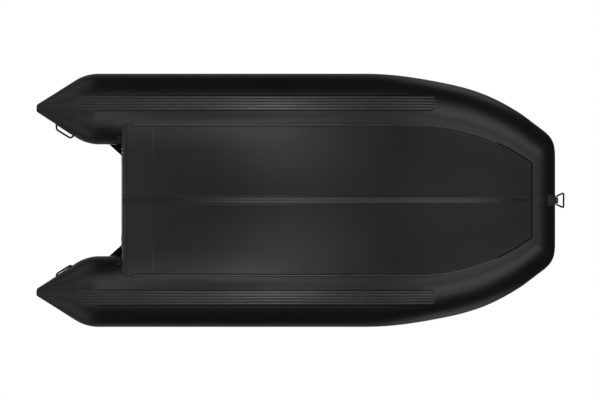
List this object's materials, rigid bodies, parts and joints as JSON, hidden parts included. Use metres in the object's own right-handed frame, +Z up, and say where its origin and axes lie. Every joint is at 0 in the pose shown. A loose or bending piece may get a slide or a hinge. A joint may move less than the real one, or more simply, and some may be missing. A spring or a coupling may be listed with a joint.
{
  "type": "inflatable boat",
  "caption": "Inflatable boat with side tubes ending in stern cones, a raised blunt bow, a hard transom for an outboard motor, an inflatable deck and sliding bench seats.",
  "frame": {"origin": "on the ground under the middle of the box round the boat, tow ring included", "axes": "+X forward to the bow, +Y to port, +Z up"},
  "size_m": [3.3638, 1.61, 0.6818],
  "materials": {
    "tube_fabric": "satin PVC-coated fabric",
    "bottom_fabric": "satin PVC-coated fabric",
    "strip_rubber": "ribbed, satin",
    "transom_ply": "painted plywood",
    "deck_fabric": "matte drop-stitch fabric",
    "seat_ply": "painted plywood",
    "ring_steel": "black coated bar",
    "reinforcement": "moulded PVC",
    "rowlock_plastic": "moulded",
    "fitting_plastic": "moulded"
  },
  "bodies": {
    "hull": {"port_side_tube": "tube_fabric", "starboard_side_tube": "tube_fabric", "port_bow_tube": "tube_fabric", "starboard_bow_tube": "tube_fabric", "bow_cross_tube": "tube_fabric", "port_stern_cone": "tube_fabric", "starboard_stern_cone": "tube_fabric", "port_cone_cap": "fitting_plastic", "starboard_cone_cap": "fitting_plastic", "bottom_panel": "bottom_fabric", "keel_strip": "strip_rubber", "bow_strip": "strip_rubber", "port_chafe_strip": "strip_rubber", "starboard_chafe_strip": "strip_rubber", "transom_board": "transom_ply", "transom_sill": "strip_rubber", "port_transom_gusset": "reinforcement", "starboard_transom_gusset": "reinforcement", "port_transom_holder": "reinforcement", "starboard_transom_holder": "reinforcement", "drain_plug": "fitting_plastic", "air_deck": "deck_fabric", "deck_valve": "fitting_plastic", "port_valve": "fitting_plastic", "starboard_valve": "fitting_plastic", "bow_valve": "fitting_plastic", "port_seat_rails": "reinforcement", "starboard_seat_rails": "reinforcement", "port_rowlock_base": "fitting_plastic", "starboard_rowlock_base": "fitting_plastic", "tow_patch": "reinforcement", "port_stern_handle": "fitting_plastic", "starboard_stern_handle": "fitting_plastic", "bow_handle": "fitting_plastic"},
    "rear_seat": {"rear_seat_board": "seat_ply", "rear_seat_channels": "fitting_plastic"},
    "front_seat": {"front_seat_board": "seat_ply", "front_seat_channels": "fitting_plastic"},
    "port_rowlock": {"port_rowlock": "rowlock_plastic"},
    "starboard_rowlock": {"starboard_rowlock": "rowlock_plastic"},
    "tow_ring": {"tow_ring": "ring_steel"}
  },
  "joints": [
    {"name": "rear_seat_slide", "type": "slide", "parent": "hull", "child": "rear_seat", "axis": [1, 0, 0], "range_m": [-0.15, 0.15]},
    {"name": "front_seat_slide", "type": "slide", "parent": "hull", "child": "front_seat", "axis": [1, 0, 0], "range_m": [-0.15, 0.15]},
    {"name": "port_rowlock_turn", "type": "hinge", "parent": "hull", "child": "port_rowlock", "pos_m": [-0.27178, 0.61, 0.4858], "axis": [0, 0, 1], "continuous": true},
    {"name": "starboard_rowlock_turn", "type": "hinge", "parent": "hull", "child": "starboard_rowlock", "pos_m": [-0.27178, -0.61, 0.4858], "axis": [0, 0, 1], "continuous": true},
    {"name": "tow_ring_swing", "type": "hinge", "parent": "hull", "child": "tow_ring", "pos_m": [1.63305, 0, 0.4178], "axis": [0, 1, 0], "range_deg": [-90, 90]}
  ]
}
